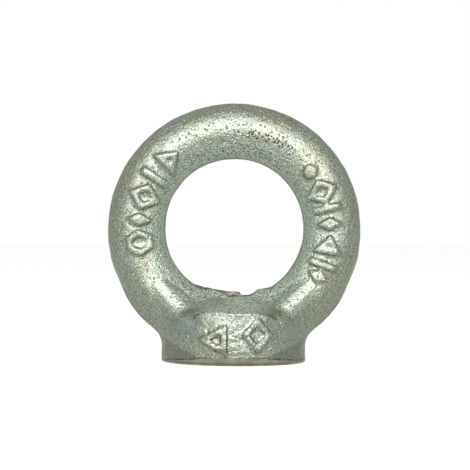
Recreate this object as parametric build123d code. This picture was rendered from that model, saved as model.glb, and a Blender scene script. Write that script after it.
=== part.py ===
from build123d import *
from math import radians, sqrt, tan
import os

# Lifting eye nut with an M8 thread: one drop forging in carbon steel, zinc plated.
# A round bar is bent into a closed eye, and both its limbs run into a heavy round foot.
# Only the seat, its chamfer and the threaded hole are machined. All the rest is as forged,
# with the flash trimmed off round the outside of the ring and round the inside of the eye.
# Millimetres. The origin is on the thread's axis at the seat, Z points up the thread,
# and the eye opens along Y. The front, with the raised pad, faces minus Y.

# The ring: its eye, the round bar it is made of, and how much of each side goes with the flash.
# The eye's circle and the bar's circle sit a little above the ring's outer circle.
eye_diameter = 19.8
bar_diameter = 8.3
flash_trim = 0.1
eye_bottom_height = 9.05
eye_rise = 0.3
bar_rise = 0.35

# The foot: oval, with a shoulder that slopes up to a peak just above the floor of the eye
foot_width = 20.5
foot_depth = 21.6
shoulder_slope = 18.0
shoulder_peak_rise = 0.1
seat_inset = 0.12
seat_chamfer_angle = 30.0

# The floor of the eye, filled up above the eye's own circle so that the thread is long enough
floor_fill = 1.3

# The raised pad on the front of the foot, which stands a little above the shoulder's edge
pad_width = 10.8
pad_bottom_height = 1.9
pad_top_rise = 0.2
pad_relief = 0.25
pad_corner_radius = 1.1

# The threaded hole, drilled to the thread's inner diameter and countersunk at the seat
thread_bore_diameter = 6.8
countersink_diameter = 8.8
countersink_angle = 45.0

# Rounded inner and outer corners of the forging
neck_radius = 3.4
floor_radius = 1.2
ledge_radius = 2.4

# Sizes that follow from the ones above
seat_radius = min(foot_width, foot_depth) / 2 - seat_inset
eye_radius = eye_diameter / 2
outer_radius = eye_radius + bar_diameter - 2 * flash_trim
floor_height = eye_bottom_height + floor_fill
eye_centre_height = eye_bottom_height + eye_radius
ring_centre_height = eye_centre_height - eye_rise
bar_centre_height = ring_centre_height + bar_rise
bar_centre_radius = (eye_radius + outer_radius) / 2
shoulder_rise = tan(radians(shoulder_slope))
shoulder_peak_height = floor_height + shoulder_peak_rise
shoulder_height = shoulder_peak_height - foot_depth / 2 * shoulder_rise
pad_top_height = shoulder_height + pad_top_rise
crest_radius = bar_diameter / 2

# The blend from the limbs into the foot is limited by the wall below the ring and by the
# shoulder beside the bar
ring_foot_height = ring_centre_height - sqrt(outer_radius**2 - (foot_width / 2) ** 2)
wall_below_ring = ring_foot_height - seat_inset / tan(radians(seat_chamfer_angle))
shoulder_beside_bar = foot_depth / 2 - crest_radius - ledge_radius
neck_corner = min(neck_radius, wall_below_ring, shoulder_beside_bar)


def forged_bar():
    """The round bar of the ring, before its flash is trimmed."""
    return Pos(0, 0, bar_centre_height) * Rot(90, 0, 0) * Torus(bar_centre_radius, crest_radius)


def across_the_eye(outline):
    """A cutter with that outline in the plane of the ring, running right through along Y."""
    return extrude(Plane.XZ * outline, foot_depth, both=True)


def trimming_die():
    """All that stays when the flash round the outside is trimmed: the ring's circle and the foot."""
    ring = Pos(0, ring_centre_height) * Circle(outer_radius)
    foot_width_with_blend = foot_width + 2 * neck_corner
    foot_height_with_blend = ring_foot_height + neck_corner / 2
    foot = Pos(0, foot_height_with_blend / 2) * Rectangle(foot_width_with_blend, foot_height_with_blend)
    return across_the_eye(ring + foot)


def eye_punch():
    """What the punch takes out of the eye, down to its floor."""
    eye = Pos(0, eye_centre_height) * Circle(eye_radius)
    floor = Pos(0, floor_height - eye_radius) * Rectangle(eye_diameter, eye_diameter)
    return across_the_eye(eye - floor)


def foot_envelope():
    """The turned outline of the foot: the seat, the steep chamfer above it and the sloping shoulder."""
    chamfer_rise = 1 / tan(radians(seat_chamfer_angle))
    corner_radius = (shoulder_peak_height + seat_radius * chamfer_rise) / (chamfer_rise + shoulder_rise)
    corner_height = shoulder_peak_height - corner_radius * shoulder_rise
    outline = Polyline(
        (0, 0),
        (seat_radius, 0),
        (corner_radius, corner_height),
        (0, shoulder_peak_height),
        close=True,
    )
    return revolve(Plane.XZ * make_face(outline), Axis.Z)


def forged_foot():
    """An oval collar, deeper than it is wide, inside the turned outline, with a rounded shoulder."""
    collar = extrude(Ellipse(foot_width / 2, foot_depth / 2), shoulder_peak_height)
    foot = collar & foot_envelope()
    curved_edges = foot.edges().filter_by(GeomType.BSPLINE)
    ledge = [edge for edge in curved_edges if edge.bounding_box().min.Z > shoulder_height / 2]
    return fillet(ledge, ledge_radius)


def floor_saddle():
    """The raised crest of the eye's floor, from limb to limb, as thick as the bar."""
    saddle = Cylinder(crest_radius, bar_centre_radius)
    return Pos(0, 0, floor_height - crest_radius) * Rot(0, 90, 0) * saddle


def front_pad():
    """A low raised pad that follows the round front of the foot."""
    height = pad_top_height - pad_bottom_height
    outline = Pos(0, pad_bottom_height + height / 2) * RectangleRounded(pad_width, height, pad_corner_radius)
    window = extrude(Plane.XZ * outline, foot_depth)
    skin = extrude(Ellipse(foot_width / 2 + pad_relief, foot_depth / 2 + pad_relief), pad_top_height)
    return window & skin


def thread_hole():
    """The through hole up the foot, with a countersunk mouth in the seat."""
    bore_radius = thread_bore_diameter / 2
    mouth_radius = countersink_diameter / 2
    mouth_depth = (mouth_radius - bore_radius) / tan(radians(countersink_angle))
    outline = Polyline(
        (0, 0),
        (mouth_radius, 0),
        (bore_radius, mouth_depth),
        (bore_radius, eye_centre_height),
        (0, eye_centre_height),
        close=True,
    )
    return revolve(Plane.XZ * make_face(outline), Axis.Z)


def joined(first, second, corner_radius):
    """Two forms of the forging as one, with a rounded inner corner where they meet."""
    both = first + second
    return fillet(new_edges(first, second, combined=both), corner_radius)


def eye_nut():
    forging = joined(forged_foot(), forged_bar(), neck_corner)
    forging = joined(forging, floor_saddle(), floor_radius)
    trimmed = (forging & trimming_die()) - eye_punch()
    return trimmed + front_pad() - thread_hole()


if __name__ == "__main__":
    os.makedirs("parts", exist_ok=True)
    export_step(eye_nut(), "parts/eye_nut_body.step")
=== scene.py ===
# %% [markdown]
# # A zinc-plated lifting eye nut
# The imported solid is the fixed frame. It has the nut's true size and place: the thread's axis is Z, the
# seat stands at zero height, the eye opens along Y and the front faces minus Y. This lesson dresses it in
# the order in which the real nut is made: it is forged, trimmed, turned, tapped and plated. The finishes
# come first, because each cut that follows gives its faces a finish.

# %% Load the fixed frame
import math

import bpy
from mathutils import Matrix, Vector


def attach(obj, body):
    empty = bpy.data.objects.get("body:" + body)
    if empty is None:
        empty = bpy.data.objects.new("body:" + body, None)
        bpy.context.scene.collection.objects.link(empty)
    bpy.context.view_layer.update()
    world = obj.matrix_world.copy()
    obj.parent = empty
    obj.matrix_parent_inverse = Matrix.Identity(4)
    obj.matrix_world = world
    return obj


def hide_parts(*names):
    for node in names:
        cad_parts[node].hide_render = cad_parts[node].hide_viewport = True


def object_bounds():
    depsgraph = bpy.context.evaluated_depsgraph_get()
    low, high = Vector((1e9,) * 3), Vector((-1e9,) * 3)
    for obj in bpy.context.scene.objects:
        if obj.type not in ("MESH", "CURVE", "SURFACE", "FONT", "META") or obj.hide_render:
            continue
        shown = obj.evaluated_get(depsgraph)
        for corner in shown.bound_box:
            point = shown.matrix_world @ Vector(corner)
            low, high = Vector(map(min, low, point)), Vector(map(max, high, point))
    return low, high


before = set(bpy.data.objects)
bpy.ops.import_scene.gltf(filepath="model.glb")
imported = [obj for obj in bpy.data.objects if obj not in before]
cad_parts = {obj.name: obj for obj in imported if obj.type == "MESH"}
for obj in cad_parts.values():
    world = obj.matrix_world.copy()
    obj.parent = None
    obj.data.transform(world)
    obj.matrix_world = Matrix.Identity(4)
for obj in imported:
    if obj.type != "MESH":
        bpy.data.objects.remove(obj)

cad_box = [list(corner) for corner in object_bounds()]
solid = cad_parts["eye_nut_body"]
print("solid from", cad_box[0], "to", cad_box[1])

# %% [markdown]
# Blender works in metres here, and a fitting like this is measured in millimetres, so one small function
# turns one into the other. The ring's outer circle and the front of the pad are read from the frame, so
# they follow the solid. The other sizes are the solid's own, written as a maker would note them.

# %% Sizes of the nut
def mm(length):
    """A length in millimetres, in Blender's metres."""
    return length / 1000


outer_radius = cad_box[1][0] * 1000
pad_front = -cad_box[0][1] * 1000
ring_centre_height = cad_box[1][2] * 1000 - outer_radius
eye_centre_height = ring_centre_height + 0.3
bar_centre_height = ring_centre_height + 0.35
bar_centre_radius = 13.95
bar_diameter = 8.3
foot_width = 20.5
floor_height = 10.35
bore_radius = 3.4
seat_radius = 10.13
seat_chamfer_angle = 30
print("ring", round(2 * outer_radius, 2), "mm across, centred", round(ring_centre_height, 2), "mm up")

# %% [markdown]
# The camera looks straight at the front from 240 mm away, level with the ring's centre. The photograph is
# square, so the lens is worked out from the 67 mm that it takes in at the ring. The camera is rolled by
# under half a degree, because the nut leans by that much in the photograph.

# %% Camera
camera_distance = 240
camera_side = 0.1
camera_height = 17.98
camera_roll = -0.4
picture_width = 67.14
sensor_width = 36
near_limit = 10

camera_data = bpy.data.cameras.new("camera")
camera_data.sensor_width = sensor_width
camera_data.lens = sensor_width * camera_distance / picture_width
camera_data.clip_start = mm(near_limit)
camera = bpy.data.objects.new("camera", camera_data)
camera.location = (mm(camera_side), -mm(camera_distance), mm(camera_height))
camera.rotation_euler = (math.radians(90), math.radians(camera_roll), 0)
bpy.context.scene.collection.objects.link(camera)
bpy.context.scene.camera = camera
print("lens", round(camera_data.lens, 1), "mm")

# %% [markdown]
# Colours are written as the hex values that a colour picker shows, and one function turns them to the
# linear values that Blender's shaders use. A second function adds one node with its settings and its links,
# which keeps a long material readable.

# %% Colour and node helpers
def linear(hex_colour):
    """The linear RGBA of an sRGB hex colour such as 8c9588."""
    channels = [int(hex_colour[place:place + 2], 16) / 255 for place in (0, 2, 4)]
    return [c / 12.92 if c <= 0.04045 else ((c + 0.055) / 1.055) ** 2.4 for c in channels] + [1]


def add_node(tree, kind, inputs, **settings):
    """One node of that kind. An input is a plain value, an output socket, or a node for its first output."""
    node = tree.nodes.new(kind)
    for name, value in settings.items():
        setattr(node, name, value)
    for name, value in inputs.items():
        source = value.outputs[0] if isinstance(value, bpy.types.Node) else value
        if isinstance(source, bpy.types.NodeSocket):
            tree.links.new(source, node.inputs[name])
        else:
            node.inputs[name].default_value = source
    return node


def new_finish(name):
    """An empty material with its node tree and its Object coordinates."""
    finish = bpy.data.materials.new(name)
    finish.use_nodes = True
    finish.node_tree.nodes.clear()
    place = add_node(finish.node_tree, "ShaderNodeTexCoord", {}).outputs["Object"]
    return finish, finish.node_tree, place


def per_metre(size):
    """The scale of a pattern whose grains are that many millimetres across."""
    return 1 / mm(size)


print("zinc's green-grey in linear values:", [round(c, 3) for c in linear("8e9789")])

# %% [markdown]
# A finish is built up as a painter works: a ground colour, and then coats that lie only on some places. A
# mask says where, with a number from zero to one. It is a soft-edged band of some distance, and masks are
# multiplied where several have to agree. A plain number among them makes the coat thinner.

# %% Masks
def overlap(tree, *masks):
    """The masks multiplied, which is one only where all of them are."""
    shared = masks[0]
    for mask in masks[1:]:
        shared = add_node(tree, "ShaderNodeMath", {0: shared, 1: mask}, operation="MULTIPLY")
    return shared


def either(tree, *masks):
    """The largest of the masks."""
    largest = masks[0]
    for mask in masks[1:]:
        largest = add_node(tree, "ShaderNodeMath", {0: largest, 1: mask}, operation="MAXIMUM")
    return largest


def within(tree, value, low, high, soft):
    """One where the value lies from low to high millimetres, fading to zero over the soft width."""
    edges = {"Value": value, "From Min": mm(low - soft), "From Max": mm(low)}
    rising = add_node(tree, "ShaderNodeMapRange", edges)
    edges = {"Value": value, "From Min": mm(high), "From Max": mm(high + soft), "To Min": 1, "To Max": 0}
    falling = add_node(tree, "ShaderNodeMapRange", edges)
    return overlap(tree, rising, falling)


def from_axis(tree, place, height):
    """The distance from an axis along Y at that height in millimetres."""
    offset = add_node(tree, "ShaderNodeVectorMath", {0: place, 1: (0, 0, mm(height))}, operation="SUBTRACT")
    flat = add_node(tree, "ShaderNodeVectorMath", {0: offset, 1: (1, 0, 1)}, operation="MULTIPLY")
    return add_node(tree, "ShaderNodeVectorMath", {0: flat}, operation="LENGTH").outputs["Value"]


# %% [markdown]
# Four more helpers turn masks into a surface. One gives a colour ramp its stops. A coat mixes or multiplies
# a paint into the colour below it. Relief stacks bump patterns, each on the one below. Every finish of the
# nut is zinc and ends in the same metal shader, whose index of refraction stays as Blender gives it.

# %% Coats, relief and metal
def with_stops(ramp, stops):
    """The colour ramp with those stops, each a position and a hex colour."""
    band = ramp.color_ramp.elements
    while len(band) < len(stops):
        band.new(0.5)
    for element, (position, colour) in zip(band, stops):
        element.position = position
        element.color = linear(colour)
    return ramp


def coat(tree, under, paint, *masks, way="MIX"):
    """The colour under, with the paint on it where the masks agree. Mix takes its colours in sockets 6, 7."""
    inputs = {0: overlap(tree, *masks), 6: under, 7: paint}
    return add_node(tree, "ShaderNodeMix", inputs, data_type="RGBA", blend_type=way).outputs[2]


def relief(tree, patterns):
    """The normal over several patterns, each with its depth in millimetres, below zero where it is sunk."""
    below = {}
    for pattern, depth, strength in patterns:
        inputs = {"Strength": strength, "Distance": mm(abs(depth)), "Height": pattern, **below}
        below = {"Normal": add_node(tree, "ShaderNodeBump", inputs, invert=depth < 0)}
    return below["Normal"]


def plate(tree, colour, roughness, normal, edge_tint="ffffff"):
    """Ends a finish in the metal shader. The edge tint is how well it mirrors at glancing angles."""
    inputs = {"Base Color": colour, "Metallic": 1, "Roughness": roughness, "Normal": normal}
    metal = add_node(tree, "ShaderNodeBsdfPrincipled", {**inputs, "Specular Tint": linear(edge_tint)})
    add_node(tree, "ShaderNodeOutputMaterial", {"Surface": metal})
    print("nodes in the finish:", len(tree.nodes))


# %% [markdown]
# The forged skin is carbon steel that was blasted, pickled and given some micrometres of electroplated
# zinc. Zinc is a metal, so it takes its colour from its reflections: bright and nearly white where the lamp
# is mirrored, and a mid green-grey elsewhere. A picture of plating could be wrapped round the ring, but
# noises in the space of the nut have no seam and run through every blend. First come the distances that the
# masks are made of, and two masks that are used again: the side of the ring that faces the eye, and the
# middle of the nut from left to right.

# %% Forged skin: where things are
forged_zinc, tree, place = new_finish("zinc_plated_forging")
beyond_the_nut = 40

axes = add_node(tree, "ShaderNodeSeparateXYZ", {0: place})
across = axes.outputs["X"]
height = axes.outputs["Z"]
ring_distance = from_axis(tree, place, ring_centre_height)
eye_distance = from_axis(tree, place, eye_centre_height)
recess = within(tree, ring_distance, 0, 11.3, 2)
middle = within(tree, across, -6, 6, 3)
print("forged skin:", len(tree.nodes), "nodes find the place")

# %% [markdown]
# The ground colour drifts slowly, in clouds some 5 mm wide. Towards the eye the colour is made paler as
# painted light, most of all in the middle, and the necks beside the pad get a little painted light too. The
# plating follows each crater of the blasting, and dark grains of 0.22 mm stand for that, so a highlight
# breaks up into sparkle.

# %% Forged skin: ground colour
clouds = add_node(tree, "ShaderNodeTexNoise", {"Vector": place, "Scale": per_metre(5.0), "Detail": 3})
ground = add_node(tree, "ShaderNodeValToRGB", {"Fac": clouds})
colour = with_stops(ground, [(0.38, "8f9685"), (0.5, "8e9789"), (0.62, "8d988f")])

# Painted light: the side of the ring that faces the eye is made paler, most of all in the middle.
pale_zinc = coat(tree, linear("b1bfb0"), linear("c1cfc0"), middle)
colour = coat(tree, colour, pale_zinc, recess)

# Painted light: the necks beside the pad are made a little paler.
necks = overlap(tree, within(tree, ring_distance, 12.8, 14.2, 0.7), within(tree, height, 5.5, 11, 2))
pad_columns = within(tree, across, -5, 5, 1.2)
beside_pad = add_node(tree, "ShaderNodeMath", {0: 1, 1: pad_columns}, operation="SUBTRACT")
colour = coat(tree, colour, linear("c4cfc0"), necks, beside_pad, 0.3)

fine_grain = {"Vector": place, "Scale": per_metre(0.22), "Detail": 3, "Roughness": 0.65}
grain = add_node(tree, "ShaderNodeTexNoise", fine_grain)
mottle = add_node(tree, "ShaderNodeValToRGB", {"Fac": grain})
mottle = with_stops(mottle, [(0.36, "6a6b64"), (0.46, "cfd0cb"), (0.56, "ffffff")])
colour = coat(tree, colour, mottle, 0.75, way="MULTIPLY")
print("forged skin:", len(tree.nodes), "nodes with its ground colour")

# %% [markdown]
# On the side that faces the eye the skin is also speckled, with dark grains of 0.3 mm that are thickest in
# the middle. Blast craters 0.5 mm apart cover the whole nut. At the top of the ring, just right of the
# middle, a patch of deeper pits is sunk in, and their black colour is a painted reflection of dark
# surroundings.

# %% Forged skin: specks and pits
thickness = add_node(tree, "ShaderNodeMath", {0: middle, 1: 0.4, 2: 0.25}, operation="MULTIPLY_ADD")
speckled = overlap(tree, recess, thickness)
coarse_grain = {"Vector": place, "Scale": per_metre(0.3), "Detail": 2, "Roughness": 0.6}
specks = add_node(tree, "ShaderNodeValToRGB", {"Fac": add_node(tree, "ShaderNodeTexNoise", coarse_grain)})
specks = with_stops(specks, [(0.4, "5a5f58"), (0.52, "ffffff")])
colour = coat(tree, colour, specks, speckled, way="MULTIPLY")


def bowls(spacing, share):
    """One in the middle of that share of the blast craters, and zero between them."""
    cells = add_node(tree, "ShaderNodeTexVoronoi", {"Vector": place, "Scale": per_metre(spacing)})
    slope = {"Value": cells.outputs["Distance"], "From Max": 0.4, "To Min": 1, "To Max": 0}
    bowl = add_node(tree, "ShaderNodeMapRange", slope)
    lot = {0: cells.outputs["Color"], 1: 1 - share}
    return overlap(tree, bowl, add_node(tree, "ShaderNodeMath", lot, operation="GREATER_THAN"))


craters = bowls(0.5, 0.5)
top_of_ring = within(tree, height, 27, beyond_the_nut, 2.5)
right_of_middle = within(tree, across, 1.0, 7.5, 2)
patch = overlap(tree, within(tree, ring_distance, 12.9, 14.0, 0.4), top_of_ring, right_of_middle)
# Painted reflection: the deep pits at the top of the ring are sunk as bump and coloured black.
black_pits = overlap(tree, bowls(0.4, 0.6), patch)
blackened = add_node(
    tree, "ShaderNodeMapRange", {"Value": black_pits, "From Min": 0.1, "From Max": 0.6, "To Max": 0.9}
)
colour = coat(tree, colour, linear("1d1c16"), blackened)
print("forged skin:", len(tree.nodes), "nodes with its pits")

# %% [markdown]
# The flash was trimmed round the outside of the ring, round the eye and along the crest of its floor. It
# leaves narrow lands of torn metal, which look dark, but on the crest of the floor the dark colour is painted
# shade. Painted shade also lies where the skin meets a machined face, which the mesh says with an attribute,
# and a small rust stain lies near the top of the ring. A noise of 0.5 mm gives the stain its uneven edge.

# %% Forged skin: lands, painted shade and rust
outer_land = overlap(tree, within(tree, ring_distance, 18.0, beyond_the_nut, 0.1), 0.35)
above_the_floor = within(tree, height, 11.5, beyond_the_nut, 1)
inner_land = overlap(tree, within(tree, eye_distance, 0, 9.9, 0.18), above_the_floor, 0.8)
above_the_fill = within(tree, height, 10.32, beyond_the_nut, 0.1)
near_the_floor = within(tree, height, 10, 11.3, 0.5)
# Painted shade along the crest of the eye's floor, in the lands' dark colour.
crest = overlap(tree, above_the_fill, near_the_floor, within(tree, eye_distance, 0, 9.9, 0.2), 0.8)
# The outer and inner lands are torn metal; the crest takes the same colour as painted shade.
colour = coat(tree, colour, linear("3e4036"), either(tree, outer_land, inner_land, crest))

# Painted shade: a dark line where the forged skin meets a machined face.
cut_edge = add_node(tree, "ShaderNodeAttribute", {}, attribute_name="beside_the_cut").outputs["Fac"]
colour = coat(tree, colour, linear("34342a"), cut_edge, 0.85)


def stain(spot, reach):
    """One at a spot given in millimetres, fading to zero at its reach, with an uneven edge."""
    ends = {0: place, 1: [mm(c) for c in spot]}
    distance = add_node(tree, "ShaderNodeVectorMath", ends, operation="DISTANCE").outputs["Value"]
    fading = {"Value": distance, "From Max": mm(reach), "To Min": 1, "To Max": 0}
    creep = add_node(tree, "ShaderNodeTexNoise", {"Vector": place, "Scale": per_metre(0.5)})
    uneven = {"Value": creep, "From Min": 0.4, "From Max": 0.6}
    near = add_node(tree, "ShaderNodeMapRange", fading)
    return overlap(tree, near, add_node(tree, "ShaderNodeMapRange", uneven))


colour = coat(tree, colour, linear("7d6447"), stain((7.7, -2.4, ring_centre_height + 15.4), 1.9), 0.7)
# Here dirt means the painted shade beside the cut faces.
print("forged skin:", len(tree.nodes), "nodes with its lands, dirt and rust")

# %% [markdown]
# What is too fine for the mesh is bump: soft pits of 0.9 mm, wrinkles of 0.6 mm where the zinc ran on the
# pad, the grain, the craters and the deep pits. Where the pad is wrinkled it is also made a little lighter,
# as painted highlight. The roughness varies with the soft pits, and is higher towards the eye. At glancing
# angles the skin mirrors a little less than clean zinc.

# %% Forged skin: relief and shine
wrinkled = overlap(tree, within(tree, height, 1.4, 5.2, 0.8), within(tree, across, -5, 5, 1))
# Painted highlight: the wrinkled part of the pad is made a little lighter.
colour = coat(tree, colour, linear("b4bcab"), wrinkled, 0.12)

pits = add_node(tree, "ShaderNodeTexNoise", {"Vector": place, "Scale": per_metre(0.9)})
wrinkles = add_node(tree, "ShaderNodeTexNoise", {"Vector": place, "Scale": per_metre(0.6)})
coarser = add_node(tree, "ShaderNodeMapRange", {"Value": speckled, "From Max": 0.65, "To Min": 0.37})
normal = relief(tree, [
    (pits, 0.07, 1),
    (wrinkles, 0.22, wrinkled),
    (grain, 0.22, coarser),
    (craters, -0.1, 1),
    (black_pits, -0.3, 1),
])

shine = {"Value": pits, "From Min": 0.3, "From Max": 0.7, "To Min": 0.24, "To Max": 0.36}
duller = {0: recess, 1: 0.06, 2: add_node(tree, "ShaderNodeMapRange", shine)}
roughness = add_node(tree, "ShaderNodeMath", duller, operation="MULTIPLY_ADD")
plate(tree, colour, roughness, normal, "e6e5da")

# %% [markdown]
# The seat, its chamfer and the countersink were turned on a lathe, so they carry fine rings about the
# thread's axis. The plating there is thinner and has yellowed. The real rings are about 0.1 mm apart, which
# is too fine to show, so they are drawn 0.3 mm apart. One wave pattern has rings for the flat seat, and a
# second has bands up the chamfer. A thin dark line runs round the chamfer, just above the seat.

# %% Turned and plated faces
turned_faces, tree, place = new_finish("turned_and_plated_zinc")
drawn_ring_pitch = 0.3
wave_length_at_scale_one = 2 * math.pi / 20
wave_scale = wave_length_at_scale_one * per_metre(drawn_ring_pitch)

waves = {"Vector": place, "Scale": wave_scale, "Distortion": 0.4}
rings = add_node(tree, "ShaderNodeTexWave", {**waves, "Detail": 1}, wave_type="RINGS", rings_direction="Z")
bands = add_node(tree, "ShaderNodeTexWave", waves, bands_direction="Z")
both_waves = {0: rings.outputs["Fac"], 1: bands.outputs["Fac"]}
grooves = add_node(tree, "ShaderNodeMath", both_waves, operation="ADD")
stains = add_node(tree, "ShaderNodeTexNoise", {"Vector": place, "Scale": per_metre(1.6), "Detail": 3})
grain = add_node(tree, "ShaderNodeTexNoise", {"Vector": place, "Scale": per_metre(0.25)})

colour = add_node(tree, "ShaderNodeValToRGB", {"Fac": stains})
colour = with_stops(colour, [(0.35, "747764"), (0.55, "838673"), (0.68, "939684")])
height = add_node(tree, "ShaderNodeSeparateXYZ", {0: place}).outputs["Z"]
colour = coat(tree, colour, linear("3a3a30"), within(tree, height, 0.28, 0.34, 0.12), 0.6)
normal = relief(tree, [(grooves, 0.006, 1), (grain, 0.015, 1)])
plate(tree, colour, 0.38, normal)

# %% [markdown]
# In the threaded hole the plating is thin and holds some oil, so it looks olive and a little darker. Stains
# of 0.8 mm give both its colour and its slight unevenness.

# %% Plated thread
thread_faces, tree, place = new_finish("oily_plated_thread")
stains = add_node(tree, "ShaderNodeTexNoise", {"Vector": place, "Scale": per_metre(0.8), "Detail": 3})
colour = add_node(tree, "ShaderNodeValToRGB", {"Fac": stains})
colour = with_stops(colour, [(0.35, "484a42"), (0.6, "7c7f72")])
plate(tree, colour, 0.5, relief(tree, [(stains, 0.03, 1)]))

# %% [markdown]
# Each step below works on one object at a time, and a Blender operator acts on all that is selected. So one
# helper selects a single piece, two select faces or open edges by a rule, one applies a modifier, and one
# counts triangles for the notes that the cells print.

# %% Modelling helpers
def select_only(piece):
    bpy.ops.object.select_all(action="DESELECT")
    piece.select_set(True)
    bpy.context.view_layer.objects.active = piece


def edit_faces(piece, wanted):
    """Opens the piece in edit mode with only the faces selected that the rule wants."""
    select_only(piece)
    bpy.ops.object.mode_set(mode="EDIT")
    bpy.ops.mesh.select_mode(type="FACE")
    bpy.ops.mesh.select_all(action="DESELECT")
    bpy.ops.object.mode_set(mode="OBJECT")
    for face in piece.data.polygons:
        face.select = wanted(face)
    bpy.ops.object.mode_set(mode="EDIT")


def edit_open_edges(piece, wanted):
    """Opens the piece in edit mode with only those open edges selected that the rule wants."""
    select_only(piece)
    bpy.ops.object.mode_set(mode="EDIT")
    bpy.ops.mesh.select_mode(type="EDGE")
    bpy.ops.mesh.select_all(action="DESELECT")
    bpy.ops.mesh.select_non_manifold(
        extend=False, use_wire=False, use_multi_face=False, use_non_contiguous=False, use_verts=False
    )
    bpy.ops.object.mode_set(mode="OBJECT")
    for edge in piece.data.edges:
        midpoint = sum((piece.data.vertices[v].co for v in edge.vertices), Vector()) / 2
        edge.select = edge.select and wanted(midpoint)
    bpy.ops.object.mode_set(mode="EDIT")


def apply_modifier(piece, kind, **settings):
    modifier = piece.modifiers.new(kind.lower(), kind)
    for name, value in settings.items():
        setattr(modifier, name, value)
    select_only(piece)
    bpy.ops.object.modifier_apply(modifier=modifier.name)


def triangle_count(piece):
    return sum(len(face.vertices) - 2 for face in piece.data.polygons)


print("the solid's own mesh:", triangle_count(solid), "triangles")

# %% [markdown]
# The real nut starts as a forging with no hole and with some spare metal under its foot. The solid is the
# finished nut, so a copy of its mesh is taken back to that state. First its doubled points are merged, and
# the faces of the bore are deleted. A face belongs to the bore if all its corners lie on it or inside it.

# %% The forging without its bore
merge_distance = 0.001
bore_margin = 0.02

forging = bpy.data.objects.new("lifting_eye_nut", solid.data.copy())
bpy.context.scene.collection.objects.link(forging)
forging.data.materials.clear()
select_only(forging)
bpy.ops.object.mode_set(mode="EDIT")
bpy.ops.mesh.select_all(action="SELECT")
bpy.ops.mesh.remove_doubles(threshold=mm(merge_distance))
bpy.ops.object.mode_set(mode="OBJECT")


def is_bore(face):
    corners = [forging.data.vertices[v].co for v in face.vertices]
    low = all(corner.z < mm(floor_height + 1) for corner in corners)
    return low and all(corner.xy.length < mm(bore_radius + bore_margin) for corner in corners)


edit_faces(forging, is_bore)
bpy.ops.mesh.delete(type="FACE")
bpy.ops.object.mode_set(mode="OBJECT")
print("without its bore:", triangle_count(forging), "triangles")

# %% [markdown]
# Then the bore's upper rim is filled, and the foot is cut off just above its chamfer and drawn down again,
# with 0.4 mm to spare for the lathe. The outline of the foot is the only open edge then, so it is extruded
# as it is.

# %% The blank forging
spare_metal = 0.4
cut_height = 1.6

edit_open_edges(forging, lambda midpoint: midpoint.z > mm(cut_height))
bpy.ops.mesh.fill()
bpy.ops.mesh.select_all(action="SELECT")
bpy.ops.mesh.bisect(plane_co=(0, 0, mm(cut_height)), plane_no=(0, 0, 1), clear_inner=True)
bpy.ops.object.mode_set(mode="OBJECT")
edit_open_edges(forging, lambda midpoint: True)
bpy.ops.mesh.extrude_region_move(TRANSFORM_OT_translate={"value": (0, 0, -mm(cut_height + spare_metal))})
bpy.ops.mesh.edge_face_add()
bpy.ops.mesh.select_all(action="SELECT")
bpy.ops.mesh.normals_make_consistent(inside=False)
bpy.ops.object.mode_set(mode="OBJECT")
print("blank forging:", triangle_count(forging), "triangles")

# %% [markdown]
# The die leaves more metal in the necks than the plain blend of the solid has, outside the ring and in
# front of and behind each limb. That metal could be sculpted, but a round bead along a short route is
# easier to place: it sinks into the blank, and only its top stands out. The remesh below melts it in.

# %% Fuller necks
outside_route = [(13.9, 0, 14.6), (13.25, 0, 12.55), (12, 0, 10.72), (10.3, 0, 9.1), (8.1, 0, 7.6)]
outside_thickness = 5.2
front_route = [(12, -2, 14.3), (11, -2.2, 13.1), (9.7, -2.6, 11.5), (7.6, -3.9, 9.55), (4.5, -5.5, 7.1)]
front_thickness = 4.0


def join(pieces):
    bpy.ops.object.select_all(action="DESELECT")
    for piece in pieces:
        piece.select_set(True)
    bpy.context.view_layer.objects.active = pieces[0]
    bpy.ops.object.join()
    return pieces[0]


def bead(route, thickness):
    """A bead whose top runs through the five points of the route, in millimetres."""
    bpy.ops.curve.primitive_nurbs_path_add()
    path = bpy.context.object
    path.data.bevel_depth = mm(thickness / 2)
    path.data.bevel_resolution = 3
    path.data.use_fill_caps = True
    spline = path.data.splines[0]
    spline.use_endpoint_u = True
    for point, (x, y, z) in zip(spline.points, route):
        point.co = (mm(x), mm(y), mm(z - thickness / 2), 1)
    bpy.ops.object.convert(target="MESH")
    return bpy.context.object


def neck_fills(side):
    """The extra metal of one neck. The side is -1 on the left and 1 on the right."""
    fills = [bead([(side * x, y, z) for x, y, z in outside_route], outside_thickness)]
    for face in (1, -1):
        fills.append(bead([(side * x, face * y, z) for x, y, z in front_route], front_thickness))
    return fills


forging = join([forging] + neck_fills(-1) + neck_fills(1))
print("blank with fuller necks:", triangle_count(forging), "triangles")

# %% [markdown]
# In the forging die the limbs flow into the shoulder without any edge. A voxel remesh gives the blank an
# even net of 0.3 mm, and a vertex group holds how near each point is to the places that should be soft: the
# necks, the sides of the foot and the two edges of the pad. The Smooth modifier follows that group, so it
# softens those places and leaves the rest.

# %% Soft necks and pad
blank_voxel = 0.3
neck_places = [(4.0, 4.5, 9.3), (5.6, 6.6, 7.8), (7.2, 7.6, 6.6), (9.5, 3.0, 6.8)]
neck_reach = 5.5
side_places = [(10.3, 0, 3.8), (10.0, 2.5, 4.0), (9.0, 5.0, 5.0)]
side_reach = 4.0
pad_half_width = 5.4
pad_soft_width = 2.0
pad_ledge_height = 7.6
pad_ledge_fade = 1.5
soft_falloff = 1.5
neck_rounds = 45
side_rounds = 80
pad_rounds = 60


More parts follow.
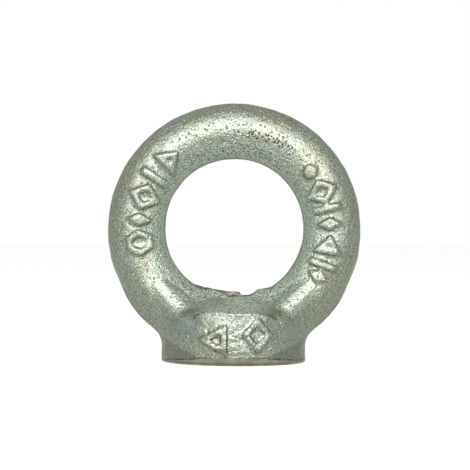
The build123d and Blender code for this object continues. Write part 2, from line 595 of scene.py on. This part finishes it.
def soften(piece, weight, rounds):
    """Smooths the piece by the weight that the rule gives each point, in millimetres."""
    group = piece.vertex_groups.new(name="soft")
    for vertex in piece.data.vertices:
        group.add([vertex.index], weight(*(c * 1000 for c in vertex.co)), "REPLACE")
    apply_modifier(piece, "SMOOTH", factor=0.5, iterations=rounds, vertex_group="soft")
    piece.vertex_groups.clear()


def beside(places, reach):
    """A rule that weighs a point by how near it is to one of the places, on either side and either face."""

    def weight(x, y, z):
        nearest = min(math.dist((abs(x), abs(y), z), place) for place in places)
        return max(0, 1 - nearest / reach) ** soft_falloff

    return weight


def beside_the_pad(x, y, z):
    across = max(0, 1 - abs(abs(x) - pad_half_width) / pad_soft_width)
    below_the_ledge = min(1, max(0, (pad_ledge_height - z) / pad_ledge_fade))
    return across * below_the_ledge if y < 0 else 0


apply_modifier(forging, "REMESH", mode="VOXEL", voxel_size=mm(blank_voxel), adaptivity=0)
soften(forging, beside(neck_places, neck_reach), neck_rounds)
soften(forging, beside(side_places, side_reach), side_rounds)
soften(forging, beside_the_pad, pad_rounds)
print("smoothed blank:", triangle_count(forging), "triangles")

# %% [markdown]
# Both limbs and the pad of the foot carry raised marks that the forging die left. Here they are plain
# signs: frames, bars and pegs. Each starts as a prism that stands across the bar, laid out by its distance
# and angle from the ring's centre. A frame is a prism whose two ends are inset and joined through, and a
# bar is a square prism drawn out to its length.

# %% Prisms for the raised marks
stroke = 0.75
prism_depth = 12


def prism(sides, length, width, place, turn, hollow=False):
    """A prism along Y, with its length along the direction that turn gives, from X towards Z."""
    bpy.ops.mesh.primitive_cylinder_add(vertices=sides, radius=0.5, depth=1)
    mark = bpy.context.object
    mark.scale = (mm(length), mm(width), mm(prism_depth))
    mark.rotation_euler = (math.radians(90), -math.radians(turn), 0)
    mark.location = (mm(place[0]), -mm(prism_depth / 2), mm(place[1]))
    bpy.ops.object.transform_apply(location=True, rotation=True, scale=True)
    if hollow:
        edit_faces(mark, lambda face: abs(face.normal.y) > 0.9)
        bpy.ops.mesh.inset(thickness=mm(stroke))
        bpy.ops.mesh.bridge_edge_loops()
        bpy.ops.object.mode_set(mode="OBJECT")
    return mark


def bar(length, width, place, turn):
    """A straight bar, from a square prism with sides of 1 mm, whose diagonals are the root of 2."""
    mark = prism(4, math.sqrt(2), math.sqrt(2), (0, 0), 45)
    mark.scale = (length, 1, width)
    mark.rotation_euler = (0, -math.radians(turn), 0)
    mark.location = (mm(place[0]), 0, mm(place[1]))
    bpy.ops.object.transform_apply(location=True, rotation=True, scale=True)
    return mark


# %% [markdown]
# A mark on the ring stands 0.41 mm proud of the bar, whose surface curves away under it. So the prisms are
# cut to a ring that is that much thicker than the bar, with one exact Boolean.

# %% Raised marks on the ring
mark_radius = 13.4
ring_relief = 0.41

# Frames and pegs have their sides, length, width and angle round the ring. A frame has its own turn as well.
frames = [(3, 4.8, 3.8, 134, 180), (4, 4.8, 3.8, 160, 0), (6, 4.3, 3.6, 188, 0), (4, 4.8, 3.6, 24, 0),
          (3, 4.8, 3.6, -10, 0)]
pegs = [(4, 3.4, 1.9, 174), (12, 1.9, 1.9, 38), (4, 3.6, 1.8, 4), (4, 3.2, 1.8, -28.5)]
# Bars have their length, width and angle
bars = [(4.2, 1.0, 147), (4.0, 0.9, 13.5), (4.0, 0.9, -21)]


def combine(piece, tool, operation):
    """A Boolean of the piece with the tool, which is then thrown away."""
    apply_modifier(
        piece, "BOOLEAN", object=tool, operation=operation, solver="EXACT", material_mode="TRANSFER"
    )
    bpy.data.objects.remove(tool)


def on_the_ring(angle):
    """The place of a mark at that angle from the ring's centre, in the plane of the ring."""
    turn = math.radians(angle)
    return mark_radius * math.cos(turn), ring_centre_height + mark_radius * math.sin(turn)


def thick_ring():
    bpy.ops.mesh.primitive_torus_add(
        major_radius=mm(bar_centre_radius),
        minor_radius=mm(bar_diameter / 2 + ring_relief),
        major_segments=160,
        minor_segments=48,
        location=(0, 0, mm(bar_centre_height)),
        rotation=(math.radians(90), 0, 0),
    )
    bpy.ops.object.transform_apply(location=True, rotation=True, scale=True)
    return bpy.context.object


marks_on_ring = [prism(n, a, b, on_the_ring(angle), angle + turn, True) for n, a, b, angle, turn in frames]
marks_on_ring += [prism(n, a, b, on_the_ring(angle), angle) for n, a, b, angle in pegs]
marks_on_ring += [bar(a, b, on_the_ring(angle), angle) for a, b, angle in bars]
marks_on_ring = join(marks_on_ring)
combine(marks_on_ring, thick_ring(), "INTERSECT")
print("marks on the ring:", triangle_count(marks_on_ring), "triangles")

# %% [markdown]
# The pad's two frames are cut in the same way, to an oval post that is 0.5 mm wider than the foot and the
# pad on every side.

# %% Raised marks on the pad
pad_relief = 0.5
post_height = 10

# Sides, length, width, place across and up, and turn
pad_frames = [(3, 5.0, 5.4, (-2.3, 3.6), 90), (4, 4.3, 5.0, (3.3, 4.3), 0)]


def oval_post():
    place = (0, 0, mm(post_height / 2))
    bpy.ops.mesh.primitive_cylinder_add(vertices=128, radius=0.5, depth=mm(post_height), location=place)
    post = bpy.context.object
    post.scale = (mm(foot_width + 2 * pad_relief), mm(2 * (pad_front + pad_relief)), 1)
    bpy.ops.object.transform_apply(location=True, rotation=True, scale=True)
    return post


marks_on_pad = join([prism(*pad_frame, True) for pad_frame in pad_frames])
combine(marks_on_pad, oval_post(), "INTERSECT")
print("marks on the pad:", triangle_count(marks_on_pad), "triangles")

# %% [markdown]
# When the flash was punched out of the eye, its floor was left ragged: a burr runs along the far rim of the
# hole on the left and stands up on the land to its right. The metal was also squeezed up into a lip along
# the top of the pad. Each stretch is a bead along a route of five points, as in the necks.

# %% Burrs and the lip of the pad
# Each has its thickness and its route
floor_burrs = [
    (0.8, [(-6.4, 0, 11.2), (-5.2, 0.2, 10.72), (-4.4, 0.1, 10.62), (-3.9, 0.7, 10.45), (-3.2, 1.6, 10.36)]),
    (0.7, [(-3.5, 1.1, 10.42), (-2.9, 2.3, 10.25), (-1.7, 3.2, 10.0), (-0.6, 3.6, 9.82), (0.9, 3.5, 9.8)]),
    (0.7, [(-4.2, -0.2, 10.6), (-3.6, -1, 10.5), (-2.9, -2.2, 10.35), (-2, -3.1, 10.05), (-1.2, -3.6, 9.6)]),
    (0.7, [(3.1, 1.8, 9.85), (3.5, 1.0, 10.35), (4.1, 0.3, 10.5), (5.0, -0.1, 10.48), (5.9, 0.0, 10.8)]),
]
pad_lip = [
    (0.55, [(-5.2, -9, 6.7), (-4.6, -10, 7.7), (-2.6, -10.8, 7.7), (-0.9, -10.95, 7.3), (1.2, -10.95, 7.3)]),
    (0.5, [(0.2, -10.95, 7.2), (2.0, -10.8, 7.65), (3.6, -10.4, 7.3), (4.8, -9.6, 7.1), (5.8, -8.5, 6.4)]),
]

burrs = join([bead(route, thickness) for thickness, route in floor_burrs + pad_lip])
print("burrs and lip:", triangle_count(burrs), "triangles")

# %% [markdown]
# A forging is one skin, with no seam where a mark or a burr stands on it. A voxel remesh joins the closed
# shapes into one such skin, in cells small enough to keep a stroke of a mark, and a little smoothing takes
# off the steps between the cells and rounds the marks, as wear and plating do.

# %% One forged skin
final_voxel = 0.212
voxel = final_voxel
wear_rounds = 5


def with_finish(piece, finish):
    piece.data.materials.clear()
    piece.data.materials.append(finish)
    return piece


forging = join([forging, marks_on_ring, marks_on_pad, burrs])
apply_modifier(forging, "REMESH", mode="VOXEL", voxel_size=mm(voxel), adaptivity=0)
apply_modifier(forging, "SMOOTH", factor=0.5, iterations=wear_rounds)
with_finish(forging, forged_zinc)
print("forged skin:", triangle_count(forging), "triangles")

# %% [markdown]
# No forged face is true. The die and the cooling leave slow waves some 4.5 mm long, and scale and blasting
# leave an orange peel with grains of about a millimetre. Two noises push the skin in and out, by up to 0.08
# mm and 0.035 mm each way. Displacing the mesh, rather than the shading alone, also makes the outline
# uneven.

# %% Waves and orange peel
def unevenness(name, size, depth):
    pattern = bpy.data.textures.new(name, "CLOUDS")
    pattern.noise_scale = mm(size)
    pattern.noise_depth = 1
    apply_modifier(
        forging, "DISPLACE", texture=pattern, texture_coords="LOCAL", strength=mm(depth), mid_level=0.5
    )


unevenness("slow waves", 4.5, 0.16)
unevenness("orange peel", 1.1, 0.07)
print("uneven skin:", triangle_count(forging), "triangles")

# %% [markdown]
# Handling has left a few nicks on the outer land, and a bubble in the melt left one deep hole inside the
# right limb. Each is a small ball, and all are taken out of the skin in one cut.

# %% Nicks and one blow hole
# Each has its place, with the height taken from the ring's centre, and its radius
nicks = [(3.0, -0.3, 17.85, 0.42), (4.1, 0.2, 17.75, 0.3), (-4.6, 0.1, 17.6, 0.28), (-2.2, 0.3, 18.05, 0.25),
         (10.42, -3.05, 3.8, 0.24), (8.9, -1.3, -5.6, 0.2), (-11.4, -3.3, -1.6, 0.2)]


def ball(x, y, z, radius):
    place = (mm(x), mm(y), mm(ring_centre_height + z))
    bpy.ops.mesh.primitive_ico_sphere_add(subdivisions=2, radius=mm(radius), location=place)
    bpy.ops.object.transform_apply(location=True, rotation=True, scale=True)
    return with_finish(bpy.context.object, forged_zinc)


combine(forging, join([ball(*nick) for nick in nicks]), "DIFFERENCE")
print("nicked skin:", triangle_count(forging), "triangles")

# %% [markdown]
# Now the machine work. The lathe tool is a cone that stands on its small end: what lies outside it is cut
# away, which leaves the flat seat and the steep chamfer above it. The skin above is uneven, so the
# chamfer's upper edge wanders, as it does on the real nut. From 3 mm up, the tool is wide enough to clear
# the whole ring. The cut faces take the material of the tool.

# %% Seat and chamfer
cone_height = 3
clear_height = 40


def lathe_cone():
    spread = cone_height * math.tan(math.radians(seat_chamfer_angle))
    bpy.ops.mesh.primitive_cone_add(
        vertices=256,
        radius1=mm(seat_radius),
        radius2=mm(seat_radius + spread),
        depth=mm(cone_height),
        location=(0, 0, mm(cone_height / 2)),
    )
    cone = bpy.context.object
    bpy.ops.object.transform_apply(location=True, rotation=True, scale=True)
    edit_faces(cone, lambda face: face.normal.z > 0.9)
    bpy.ops.mesh.extrude_region_move(TRANSFORM_OT_translate={"value": (0, 0, 0)})
    bpy.ops.transform.resize(value=(2, 2, 1))
    bpy.ops.mesh.extrude_region_move(TRANSFORM_OT_translate={"value": (0, 0, mm(clear_height))})
    bpy.ops.object.mode_set(mode="OBJECT")
    return with_finish(cone, turned_faces)


combine(forging, lathe_cone(), "INTERSECT")
print("turned:", triangle_count(forging), "triangles")

# %% [markdown]
# The hole is drilled right through, and its mouth is countersunk at 45 degrees. The drill is a cylinder
# that runs past both ends of the hole. The countersink is a cone whose middle lies in the seat.

# %% Drill and countersink
drill_radius = 3.32
drill_bottom = -1
drill_top = 12.5
countersink_radius = 4.4
countersink_half_depth = 1


def drill():
    depth = drill_top - drill_bottom
    place = (0, 0, mm((drill_top + drill_bottom) / 2))
    bpy.ops.mesh.primitive_cylinder_add(
        vertices=128, radius=mm(drill_radius), depth=mm(depth), location=place
    )
    bpy.ops.object.transform_apply(location=True, rotation=True, scale=True)
    return with_finish(bpy.context.object, thread_faces)


def countersink():
    bpy.ops.mesh.primitive_cone_add(
        vertices=128,
        radius1=mm(countersink_radius + countersink_half_depth),
        radius2=mm(countersink_radius - countersink_half_depth),
        depth=mm(2 * countersink_half_depth),
    )
    return with_finish(bpy.context.object, turned_faces)


combine(forging, drill(), "DIFFERENCE")
combine(forging, countersink(), "DIFFERENCE")
print("drilled:", triangle_count(forging), "triangles")

# %% [markdown]
# The tap is the groove of an M8 thread. A helix could be drawn as a curve with a profile, but that twists
# the profile a little. Here the outline of the groove, a plane with its corners moved, is swept 1.25 mm to
# a turn by the Screw modifier, which keeps every turn true. It is taken out of the forging like the drill.

# %% Tap
pitch = 1.25
thread_top = 8.6
thread_radius = 4.0
groove_inner_radius = 3.1
flank_angle = 30
steps_per_turn = 64


def tap():
    """The groove of the thread, as a closed bar wound about Z."""
    half_root = pitch / 16
    half_mouth = half_root + (thread_radius - groove_inner_radius) * math.tan(math.radians(flank_angle))
    bpy.ops.mesh.primitive_plane_add(size=1)
    groove = bpy.context.object
    corners = [(groove_inner_radius, -half_mouth), (thread_radius, -half_root),
               (groove_inner_radius, half_mouth), (thread_radius, half_root)]
    for vertex, (radius, height) in zip(groove.data.vertices, corners):
        vertex.co = (mm(radius), 0, mm(height))
    turns = int((thread_top + 2 * pitch) / pitch)
    apply_modifier(
        groove, "SCREW", axis="Z", screw_offset=mm(pitch), iterations=turns,
        steps=steps_per_turn, render_steps=steps_per_turn, use_merge_vertices=False,
    )
    for vertex in groove.data.vertices:
        vertex.co.z += mm(thread_top - turns * pitch)
    return with_finish(groove, thread_faces)


groove = tap()
print("tap:", len(groove.data.polygons), "faces")
combine(forging, groove, "DIFFERENCE")
print("tapped:", triangle_count(forging), "triangles")

# %% [markdown]
# Painted shade lies where the forged skin meets a machined face. A point there belongs to faces of both
# finishes, so the mesh can find it by itself. The result goes into an attribute, which the forged finish
# reads as a mask, and the points one edge further out get a little of it, so that the line of painted shade
# fades.

# %% Painted shade beside the cut faces
dirt_spread = 0.7


def mark_cut_edges(piece):
    """Gives each point that a forged face shares with a machined face the value one, and the rest zero."""
    finishes = [set() for _ in piece.data.vertices]
    for face in piece.data.polygons:
        for vertex in face.vertices:
            finishes[vertex].add(face.material_index)
    strength = [1.0 if len(found) > 1 and 0 in found else 0.0 for found in finishes]
    spread = list(strength)
    for edge in piece.data.edges:
        first, second = edge.vertices
        spread[first] = max(spread[first], dirt_spread * strength[second])
        spread[second] = max(spread[second], dirt_spread * strength[first])
    attribute = piece.data.attributes.new("beside_the_cut", "FLOAT", "POINT")
    attribute.data.foreach_set("value", spread)
    return strength.count(1.0)


print("points beside a cut:", mark_cut_edges(forging))

# %% [markdown]
# Forged skin shades smoothly, and the machined faces meet it at crisp edges. Shading by angle gives both.
# The finished nut then rides on the part's only body and stands in for the solid.

# %% Shading and place in the frame
crisp_angle = 35

select_only(forging)
bpy.ops.object.shade_smooth_by_angle(angle=math.radians(crisp_angle))
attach(forging, "root")
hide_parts("eye_nut_body")
print("finished nut:", triangle_count(forging), "triangles")

# %% [markdown]
# The nut stands on a plain pale floor in a white room. The floor and the room are white to the camera and
# in reflections, which the Light Path node tells apart from the light that they throw, and the floor still
# takes the nut's shadow.

# %% Floor and room
floor_size = 6000
room_light = 0.55
floor_glow = 0.8


def seen_directly(tree):
    """One for rays of the camera, of reflections and of transmission."""
    path = add_node(tree, "ShaderNodeLightPath", {})
    rays = ("Is Camera Ray", "Is Glossy Ray", "Is Transmission Ray")
    return either(tree, *(path.outputs[ray] for ray in rays))


def white_room():
    world = bpy.data.worlds.new("white room")
    bpy.context.scene.world = world
    world.use_nodes = True
    tree = world.node_tree
    tree.nodes.clear()
    plain = add_node(tree, "ShaderNodeBackground", {"Color": linear("eef0ee"), "Strength": room_light})
    white = add_node(tree, "ShaderNodeBackground", {"Color": (1, 1, 1, 1), "Strength": 1})
    mixed = add_node(tree, "ShaderNodeMixShader", {0: seen_directly(tree), 1: plain, 2: white})
    add_node(tree, "ShaderNodeOutputWorld", {"Surface": mixed})


def pale_floor():
    bpy.ops.mesh.primitive_plane_add(size=mm(floor_size))
    floor = bpy.context.object
    floor.name = "pale_floor"
    paint = bpy.data.materials.new("pale floor paint")
    paint.use_nodes = True
    tree = paint.node_tree
    tree.nodes.clear()
    matt = add_node(tree, "ShaderNodeBsdfDiffuse", {"Color": linear("a2a2a0")})
    strength = overlap(tree, seen_directly(tree), floor_glow)
    glow = add_node(tree, "ShaderNodeEmission", {"Color": (1, 1, 1, 1), "Strength": strength})
    both = add_node(tree, "ShaderNodeAddShader", {0: matt, 1: glow})
    add_node(tree, "ShaderNodeOutputMaterial", {"Surface": both})
    floor.data.materials.append(paint)


white_room()
pale_floor()
print("floor", floor_size, "mm wide")

# %% [markdown]
# The light is one wide soft box in front of the nut and above the camera. It is mirrored as a bright band
# on the upper part of every rounded front. A second, smaller box inside it makes the middle of the band
# brighter, so that the band fades out at its edges. A lamp's power is worked out from how bright its face
# looks.

# %% Soft boxes
def soft_box(name, elevation, distance, width, height, radiance):
    """An area lamp that faces the nut's middle from the front. Angle in degrees, lengths in metres."""
    lamp_data = bpy.data.lights.new(name, "AREA")
    lamp_data.shape = "RECTANGLE"
    lamp_data.size = width
    lamp_data.size_y = height
    lamp_data.energy = radiance * math.pi * width * height
    lamp_data.color = linear("fff3f6")[:3]
    lamp = bpy.data.objects.new(name, lamp_data)
    rise = math.radians(elevation)
    lamp.location = (0, -distance * math.cos(rise), mm(ring_centre_height) + distance * math.sin(rise))
    lamp.rotation_euler = (math.radians(90) - rise, 0, 0)
    bpy.context.scene.collection.objects.link(lamp)
    print(name, round(lamp_data.energy, 2), "W")


soft_box("wide soft box", elevation=21, distance=0.6, width=1.0, height=0.58, radiance=2.5)
soft_box("inner soft box", elevation=22, distance=0.58, width=0.64, height=0.36, radiance=3.2)

# %% [markdown]
# The picture's view settings stay plain, so a colour renders about as it is written.

# %% View settings
bpy.context.scene.view_settings.view_transform = "Standard"
